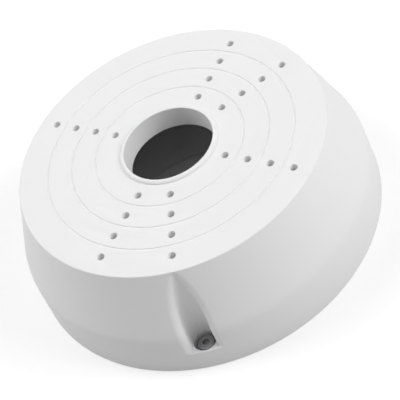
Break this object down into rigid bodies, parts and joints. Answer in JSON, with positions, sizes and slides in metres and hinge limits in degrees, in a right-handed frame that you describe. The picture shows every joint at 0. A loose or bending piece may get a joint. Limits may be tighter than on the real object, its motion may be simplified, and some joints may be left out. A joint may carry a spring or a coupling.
{
  "type": "round surface-mount junction box",
  "caption": "Round cast junction box with a sloped wall, a lipped cable bore and blind holes for a device on its face, side screw pockets, and a white-coated steel back plate.",
  "frame": {"origin": "centre of the rim that meets the wall, on the wall plane", "axes": "+Z out of the wall along the box's axis, through the cable bore; -Y through the middle of one screw pocket"},
  "size_m": [0.1496, 0.1496, 0.0482],
  "materials": {
    "white_paint": "white powder coat, satin, on die-cast aluminium",
    "plate_coat": "plain white coat, dull, on pressed steel",
    "black_rubber": "matt black rubber",
    "screw_steel": "dull zinc-plated steel"
  },
  "bodies": {
    "root": {"housing": "white_paint", "base_plate": "plate_coat", "wall_gasket": "black_rubber", "entry_grommet": "black_rubber", "pocket_screw_1": "screw_steel", "pocket_screw_2": "screw_steel", "pocket_screw_3": "screw_steel", "screw_seal_1": "black_rubber", "screw_seal_2": "black_rubber", "screw_seal_3": "black_rubber"}
  },
  "joints": []
}
